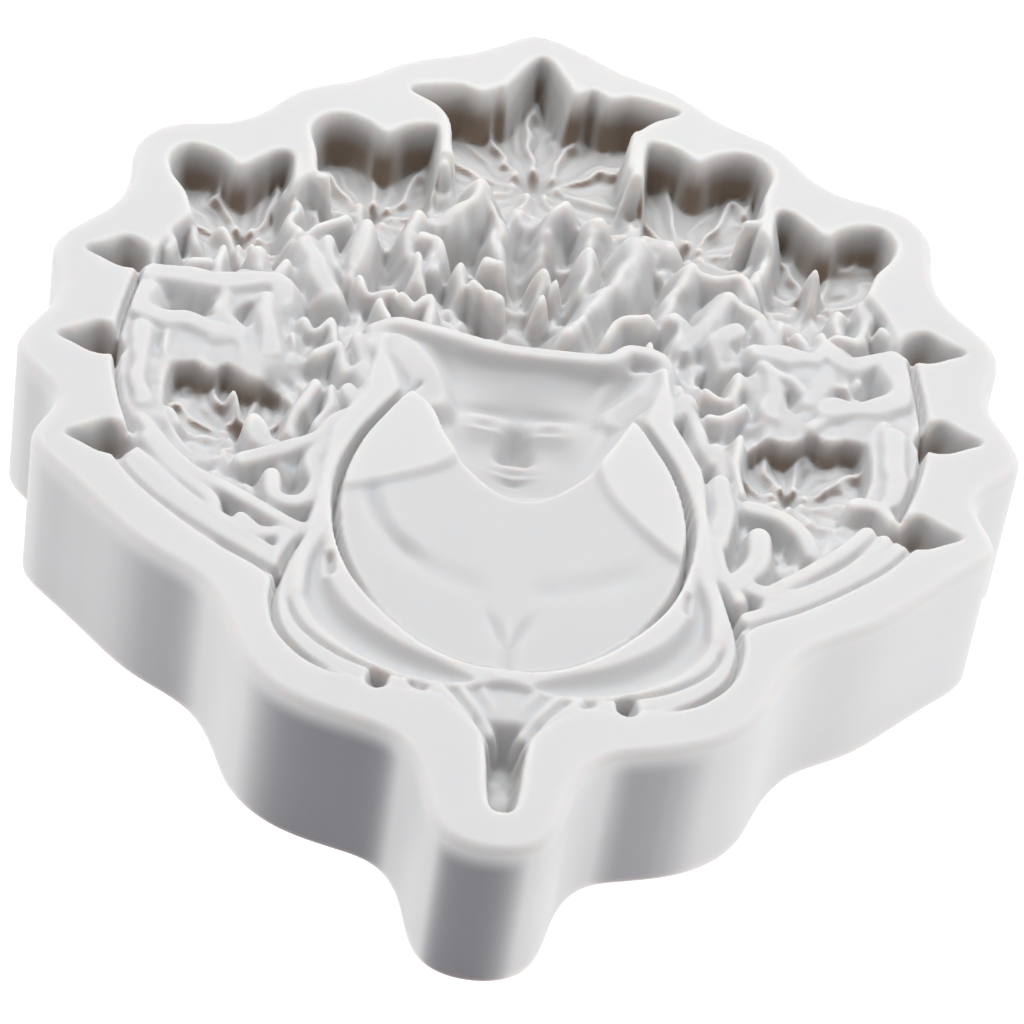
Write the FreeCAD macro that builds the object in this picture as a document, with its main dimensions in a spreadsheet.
import FreeCAD, Part
import math
import os

# A one-piece silicone rubber casting mould, lying on its back with the cavity facing up.
# Frame: X across the mould, Y along it with the pointed tail at -Y, Z up.
# The origin is on the flat underside, in the middle of the outline's length and width.

doc = FreeCAD.newDocument("resin_casting_mould")
sheet = doc.addObject("Spreadsheet::Sheet", "Sizes")

SIZES = [
    ("mould_length", 152.4, "tip to apex, along Y"),
    ("mould_width", 124.0, "across the widest lobes, along X"),
    ("mould_height", 22.0, "underside to rim land"),
    ("edge_round", 1.4, "rounding of the outer top edge"),
    ("crown_depth", 9.0, "crown flower pocket at the apex"),
    ("rear_depth", 8.5, "flower pocket beside the crown"),
    ("corner_depth", 7.5, "flower pocket at the rear corner"),
    ("side_depth", 6.0, "flower pocket at the side"),
    ("field_depth", 4.5, "field of small flowers between the pockets"),
    ("leaf_depth", 5.0, "leaf pockets along the side"),
    ("head_depth", 9.0, "head hollow"),
    ("neck_depth", 4.5, "way from the head hollow to the chest plate"),
    ("chest_depth", 3.0, "chest plate below the land"),
    ("ring_depth", 5.0, "groove round the chest plate"),
    ("ring_radius", 22.6, "outer radius of that groove"),
    ("ring_width", 2.0, "width of that groove"),
    ("ring_centre_y", -25.0, "centre of the groove along Y"),
    ("crescent_depth", 4.5, "crescent pocket under the chest plate"),
    ("crescent_radius", 27.6, "outer radius of the crescent"),
    ("crescent_gap", 1.2, "rib between the groove and the crescent"),
    ("tail_depth", 6.5, "tail pocket"),
    ("tail_width", 5.0, "tail pocket across"),
    ("tail_front_y", -70.0, "round end of the tail pocket"),
    ("tail_rear_y", -55.0, "where the tail pocket meets the band"),
]

for row, (alias, value, note) in enumerate(SIZES, start=1):
    sheet.set("A%d" % row, alias)
    sheet.set("B%d" % row, str(value))
    sheet.set("C%d" % row, note)
    sheet.setAlias("B%d" % row, alias)
doc.recompute()


def size(alias):
    return float(sheet.get(alias))


# Outlines are drawn for this length and width, and stretched to the sheet's.
DRAWN_LENGTH = 152.4
DRAWN_WIDTH = 124.0

# The outer wall's right half, from the apex round the lobes. The tip closes it.
OUTER_HALF = [
    (0.0, 76.2), (5.4, 73.8), (11.4, 70.0), (18.4, 66.9), (24.5, 61.9), (32.0, 57.9),
    (36.6, 52.2), (41.2, 49.2), (47.0, 47.8), (51.6, 43.3), (52.0, 35.6), (54.9, 27.8),
    (59.8, 21.3), (59.4, 15.0), (58.8, 10.0), (61.4, 4.2), (62.0, -1.0), (56.6, -8.9),
    (58.6, -16.0), (54.8, -21.6), (49.0, -27.6), (43.3, -33.0), (36.6, -37.6), (33.0, -43.1),
    (30.3, -49.7), (26.0, -54.4), (17.8, -57.8), (12.3, -59.9), (9.2, -64.6), (8.0, -69.4),
    (5.7, -74.2),
]
OUTER_TIP = (0.0, -76.2)

# Corners of the right side's pockets, anticlockwise: x, y, and how far the edge that leaves
# the corner swells outward. A pocket on the axis runs from its low axis point to its high one.
CROWN_HALF = [
    (0.0, 42.0, 0.0), (8.0, 42.5, 0.0), (12.2, 46.0, 0.0), (12.8, 57.5, 0.0),
    (18.0, 62.5, 0.6), (4.2, 65.5, -0.5), (0.0, 71.0, 0.0),
]
REAR_POCKET = [
    (20.0, 31.5, 0.0), (28.0, 36.5, 0.0), (29.6, 44.0, 0.0), (30.6, 52.5, 1.6),
    (21.0, 53.6, 1.4), (15.0, 54.5, 0.0), (14.6, 36.0, 0.0),
]
CORNER_POCKET = [
    (35.5, 25.0, 0.0), (43.0, 30.0, 0.0), (46.6, 38.5, 1.4), (38.5, 41.0, 1.2),
    (31.6, 42.5, 0.0), (31.0, 31.0, 0.0),
]
SIDE_POCKET = [
    (34.0, -17.0, 1.4), (43.0, -8.0, 1.2), (42.0, -0.5, 0.8), (34.0, 0.5, 0.8),
    (27.0, -2.0, 1.2), (27.0, -11.0, 1.4),
]
# The field is a band of small flowers that bends round the head from one hip to the other.
FIELD_HALF = [
    (0.0, 12.5, 0.0), (19.0, 13.0, 0.0), (20.0, -1.5, 0.0), (24.6, -13.0, 0.0),
    (25.2, -30.0, 0.0), (27.4, -34.5, 1.8), (47.5, -14.0, 0.8), (49.0, 18.0, 0.0),
    (46.0, 27.0, 0.0), (43.0, 31.0, 0.0), (31.5, 31.0, 0.0), (27.0, 36.0, 0.0),
    (14.0, 36.0, 0.0), (8.0, 39.0, 0.0), (0.0, 39.0, 0.0),
]
HEAD_HALF = [
    (0.0, -15.0, 2.0), (11.5, 0.0, 0.0), (16.5, 4.0, 0.0), (16.5, 10.0, 0.0), (0.0, 10.5, 0.0),
]
NECK_HALF = [(0.0, -20.0, 0.0), (7.5, -20.0, 0.0), (7.5, -8.0, 0.0), (0.0, -8.0, 0.0)]
CHEST_TOP_Y = -19.0         # the chest plate ends straight here, at the foot of the neck
RING_TOP_ANGLE = 38.0       # the groove's ends above the X axis, in degrees
CRESCENT_TOP_ANGLE = -12.0  # the crescent's ends, in degrees
LEAF_TIPS = [(56.2, 18.5), (57.6, 2.6), (54.6, -14.6)]
LEAF_LENGTH = 9.0
LEAF_HALF_WIDTH = 3.7
LEAF_SHOULDER = 0.55        # the leaf is widest at this share of its length from the tip
LEAF_SWELL = 0.5

FULL_TURN = 2.0 * math.pi
UP = FreeCAD.Vector(0, 0, 1)


def place(x, y):
    """A drawn point, stretched to the sheet's length and width."""
    stretch_x = size("mould_width") / DRAWN_WIDTH
    stretch_y = size("mould_length") / DRAWN_LENGTH
    return FreeCAD.Vector(x * stretch_x, y * stretch_y, 0.0)


def swelling_edge(start, end, swell):
    """A straight edge, or an arc that swells to the right of its direction of travel."""
    if swell == 0.0:
        return Part.LineSegment(start, end)
    along = end.sub(start)
    outward = FreeCAD.Vector(along.y, -along.x, 0.0).normalize()
    middle = (start + end) * 0.5 + outward * swell
    return Part.Arc(start, middle, end)


def path(corners):
    edges = []
    for (x, y, swell), (next_x, next_y, unused) in zip(corners, corners[1:]):
        edges.append(swelling_edge(place(x, y), place(next_x, next_y), swell))
    return edges


def mirrored(corners):
    """The same corners on the left side, still anticlockwise."""
    back = list(reversed(corners))
    swells = [corner[2] for corner in back[1:]] + [0.0]
    return [(-x, y, swell) for (x, y, unused), swell in zip(back, swells)]


def on_axis(corners):
    return path(corners) + path(mirrored(corners))


def on_both_sides(corners):
    closed = corners + corners[:1]
    return path(closed) + path(mirrored(closed))


def leaf_corners(tip_x, tip_y):
    """A pointed leaf, its tip toward the outer wall and its base on the hoop line."""
    shoulder_x = tip_x - LEAF_LENGTH * LEAF_SHOULDER
    base_x = tip_x - LEAF_LENGTH
    return [
        (tip_x, tip_y, LEAF_SWELL),
        (shoulder_x, tip_y + LEAF_HALF_WIDTH, LEAF_SWELL),
        (base_x, tip_y, LEAF_SWELL),
        (shoulder_x, tip_y - LEAF_HALF_WIDTH, LEAF_SWELL),
    ]


def leaves():
    edges = []
    for tip_x, tip_y in LEAF_TIPS:
        edges += on_both_sides(leaf_corners(tip_x, tip_y))
    return edges


def arc_below(radius, top_angle):
    """An arc round the front of the chest centre, its two ends at the given angle."""
    centre = FreeCAD.Vector(0, size("ring_centre_y"), 0)
    rise = math.radians(top_angle)
    return Part.ArcOfCircle(Part.Circle(centre, UP, radius), math.pi - rise, FULL_TURN + rise)


def curved_slot(inner_radius, outer_radius, top_angle):
    inner = arc_below(inner_radius, top_angle)
    outer = arc_below(outer_radius, top_angle)
    left_end = Part.LineSegment(inner.StartPoint, outer.StartPoint)
    right_end = Part.LineSegment(outer.EndPoint, inner.EndPoint)
    return [inner, outer, left_end, right_end]


def ring_groove():
    radius = size("ring_radius")
    return curved_slot(radius - size("ring_width"), radius, RING_TOP_ANGLE)


def crescent():
    inner_radius = size("ring_radius") + size("crescent_gap")
    return curved_slot(inner_radius, size("crescent_radius"), CRESCENT_TOP_ANGLE)


def chest_plate():
    radius = size("ring_radius") - size("ring_width")
    rise = math.degrees(math.asin((CHEST_TOP_Y - size("ring_centre_y")) / radius))
    rim = arc_below(radius, rise)
    return [rim, Part.LineSegment(rim.EndPoint, rim.StartPoint)]


def tail_slot():
    radius = size("tail_width") / 2.0
    centre = FreeCAD.Vector(0, size("tail_front_y") + radius, 0)
    nose = Part.ArcOfCircle(Part.Circle(centre, UP, radius), math.pi, FULL_TURN)
    rear_left = FreeCAD.Vector(-radius, size("tail_rear_y"), 0)
    rear_right = FreeCAD.Vector(radius, size("tail_rear_y"), 0)
    return [
        nose,
        Part.LineSegment(nose.EndPoint, rear_right),
        Part.LineSegment(rear_right, rear_left),
        Part.LineSegment(rear_left, nose.StartPoint),
    ]


def outer_wall():
    right = [place(x, y) for x, y in OUTER_HALF]
    left = [FreeCAD.Vector(-point.x, point.y, 0) for point in reversed(right[1:])]
    curve = Part.BSplineCurve()
    curve.interpolate(Points=right + [place(*OUTER_TIP)] + left, PeriodicFlag=True)
    return [curve]


def add_sketch(body, name, geometry):
    """A sketch on the body's own XY plane."""
    plane = [item for item in body.Origin.OriginFeatures if item.Role == "XY_Plane"][0]
    sketch = body.newObject("Sketcher::SketchObject", name)
    sketch.AttachmentSupport = (plane, [""])
    sketch.MapMode = "FlatFace"
    sketch.addGeometry(geometry, False)
    return sketch


def add_block(body):
    """The lobed block, with its top edge rounded all the way round."""
    block = body.newObject("PartDesign::Pad", "block")
    block.Profile = add_sketch(body, "outer_wall_outline", outer_wall())
    block.setExpression("Length", "Sizes.mould_height")
    doc.recompute()
    top = block.Shape.BoundBox.ZMax
    names = [
        "Edge%d" % number
        for number, edge in enumerate(block.Shape.Edges, start=1)
        if abs(edge.BoundBox.ZMin - top) < 0.01
    ]
    rounded = body.newObject("PartDesign::Fillet", "rounded_edge")
    rounded.Base = (block, names)
    rounded.setExpression("Radius", "Sizes.edge_round")
    doc.recompute()


def add_pocket(body, name, geometry, depth_alias):
    """A flat-floored pocket, cut down from the rim land."""
    volume_before = body.Shape.Volume
    sketch = add_sketch(body, name + "_outline", geometry)
    sketch.setExpression("AttachmentOffset.Base.z", "Sizes.mould_height")
    pocket = body.newObject("PartDesign::Pocket", name)
    pocket.Profile = sketch
    pocket.setExpression("Length", "Sizes." + depth_alias)
    doc.recompute()
    if body.Shape.Volume >= volume_before:
        raise RuntimeError(name + " cut nothing")


def mould_body():
    body = doc.addObject("PartDesign::Body", "mould_body")
    add_block(body)
    add_pocket(body, "crown_pocket", on_axis(CROWN_HALF), "crown_depth")
    add_pocket(body, "rear_pockets", on_both_sides(REAR_POCKET), "rear_depth")
    add_pocket(body, "corner_pockets", on_both_sides(CORNER_POCKET), "corner_depth")
    add_pocket(body, "side_pockets", on_both_sides(SIDE_POCKET), "side_depth")
    add_pocket(body, "flower_field", on_axis(FIELD_HALF), "field_depth")
    add_pocket(body, "leaf_pockets", leaves(), "leaf_depth")
    add_pocket(body, "head_hollow", on_axis(HEAD_HALF), "head_depth")
    add_pocket(body, "neck_way", on_axis(NECK_HALF), "neck_depth")
    add_pocket(body, "chest_plate", chest_plate(), "chest_depth")
    add_pocket(body, "ring_groove", ring_groove(), "ring_depth")
    add_pocket(body, "crescent", crescent(), "crescent_depth")
    add_pocket(body, "tail_pocket", tail_slot(), "tail_depth")
    body.Placement = FreeCAD.Placement()
    return body


parts = [mould_body()]
doc.recompute()

for item in doc.Objects:
    if "Invalid" in item.State or "Error" in item.State:
        raise RuntimeError("%s did not compute: %s" % (item.Label, item.State))
for part in parts:
    if part.Shape.isNull() or not part.Shape.isValid() or len(part.Shape.Solids) != 1:
        raise RuntimeError("%s is not one valid solid" % part.Label)

os.makedirs("parts", exist_ok=True)
for part in parts:
    box = part.Shape.BoundBox
    print(part.Label, "%.2f x %.2f x %.2f mm" % (box.XLength, box.YLength, box.ZLength),
          "%.1f cm3" % (part.Shape.Volume / 1000.0))
    part.Shape.exportStep(os.path.join("parts", part.Label + ".step"))
